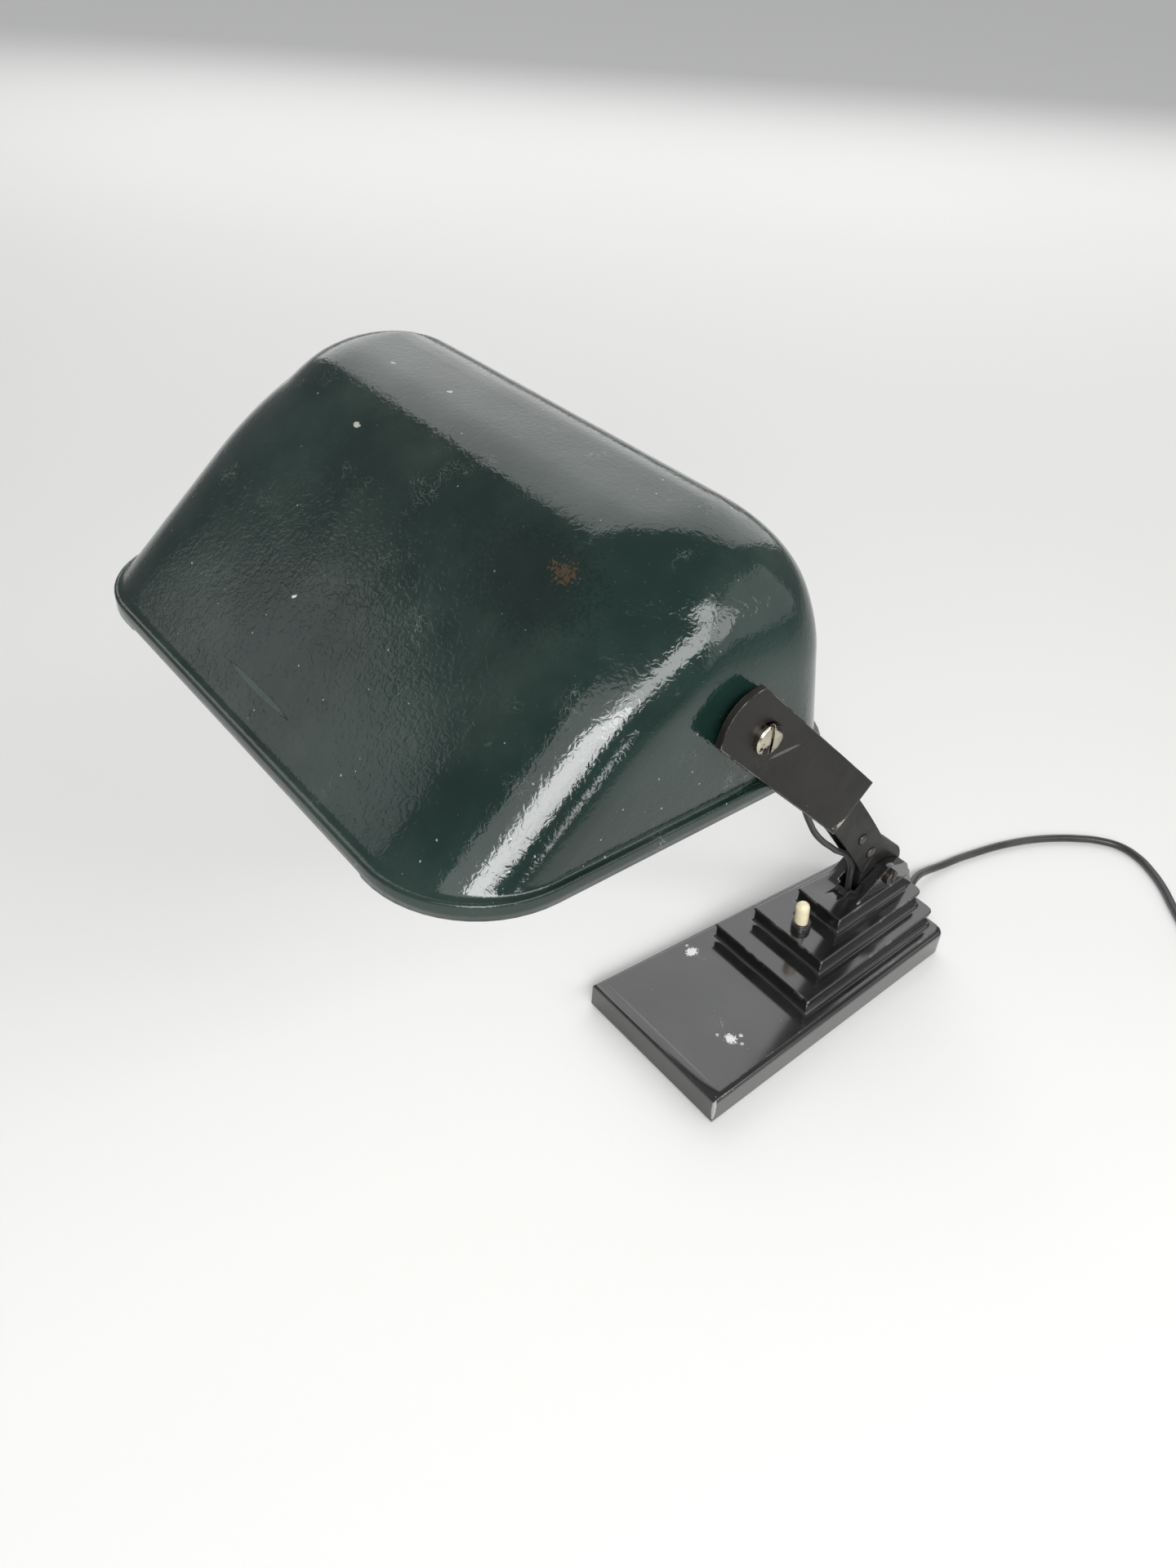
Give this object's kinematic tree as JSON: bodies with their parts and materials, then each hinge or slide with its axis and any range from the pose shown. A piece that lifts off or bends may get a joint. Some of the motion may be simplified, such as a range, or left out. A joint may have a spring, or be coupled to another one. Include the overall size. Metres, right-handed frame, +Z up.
{
  "type": "banker desk lamp",
  "caption": "Desk lamp with a loaf-shaped pressed metal shade tilting in a bent-strip yoke, on a curved channel arm hinged to a stepped cast base with a push-button switch and a mains cord.",
  "frame": {"origin": "centre of the base's footprint on the table", "axes": "+Z up, +Y towards the back where the cord leaves, -Y the front under the shade, +X to the right seen from the front"},
  "size_m": [0.3643, 0.6347, 0.3901],
  "materials": {
    "casting": "stoved black enamel, satin, rubbed at the edges",
    "plate_steel": "bright steel sheet",
    "screw_steel": "plain steel",
    "felt": "green felt",
    "bakelite": "dark moulded plastic",
    "collar_black": "black",
    "ivory": "ivory, polished by use",
    "spring_steel": "wire",
    "ceramic": "glazed white ceramic",
    "brass": "dull brass",
    "arm_paint": "worn satin grey-black",
    "dark_rivet": "dark, worn",
    "flex_black": "black braided flex",
    "shade_green": "dark green gloss enamel outside, white inside",
    "nickel": "nickel plate worn to brass",
    "fibre": "black fibre",
    "white_enamel": "white enamel",
    "zinc_tab": "zinc-plated sheet",
    "lamp_cap": "thin aluminium",
    "opal": "opal-coated glass",
    "cord_grey": "grey-black round cord with a slight sheen",
    "plug_black": "black moulded rubber"
  },
  "bodies": {
    "base": {"base_casting": "casting", "base_plate": "plate_steel", "base_plate_screws": "screw_steel", "felt_pad": "felt", "switch_body": "bakelite", "switch_collar": "collar_black", "switch_nut": "brass", "switch_spring": "spring_steel", "terminal_block": "ceramic", "hinge_screw": "dark_rivet", "hinge_washers": "screw_steel", "hinge_nut": "dark_rivet", "hinge_flex": "flex_black", "slot_grommet": "fibre", "cord_relief": "plug_black", "mains_cord": "cord_grey", "cord_coil": "cord_grey", "cord_tie": "plug_black", "cord_tail": "cord_grey", "plug_body": "plug_black", "plug_pins": "nickel"},
    "arm": {"hinge_bush": "brass", "arm_channel": "arm_paint", "arm_knuckle": "arm_paint", "arm_rivets": "dark_rivet", "arm_foot": "arm_paint", "foot_screws": "dark_rivet", "foot_nuts": "dark_rivet", "flex_clip": "arm_paint", "arm_flex": "flex_black", "head_flex": "flex_black", "yoke_strap": "arm_paint"},
    "shade": {"tilt_screws": "nickel", "tilt_washers": "fibre", "tilt_nuts": "screw_steel", "tilt_plates": "white_enamel", "shade_shell": "shade_green", "holder_bracket": "zinc_tab", "bracket_rivets": "shade_green", "holder_nipple": "brass", "holder_nuts": "brass", "holder_body": "ceramic", "holder_ring": "brass", "holder_contact": "brass", "bulb_cap": "lamp_cap", "bulb_glass": "opal"},
    "button": {"switch_button": "ivory"}
  },
  "joints": [
    {"name": "arm_hinge", "type": "hinge", "parent": "base", "child": "arm", "pos_m": [0, 0.0677, 0.058], "axis": [1, 0, 0], "range_deg": [-35, 15], "deforming": ["hinge_flex"]},
    {"name": "shade_tilt", "type": "hinge", "parent": "arm", "child": "shade", "pos_m": [0, -0.1988, 0.3377], "axis": [1, 0, 0], "range_deg": [-40, 50], "deforming": ["head_flex"]},
    {"name": "switch_press", "type": "slide", "parent": "base", "child": "button", "axis": [0, 0, -1], "range_m": [0, 0.003], "stiffness_N_per_m": 400, "springref_m": -0.002, "deforming": ["switch_spring"]}
  ]
}
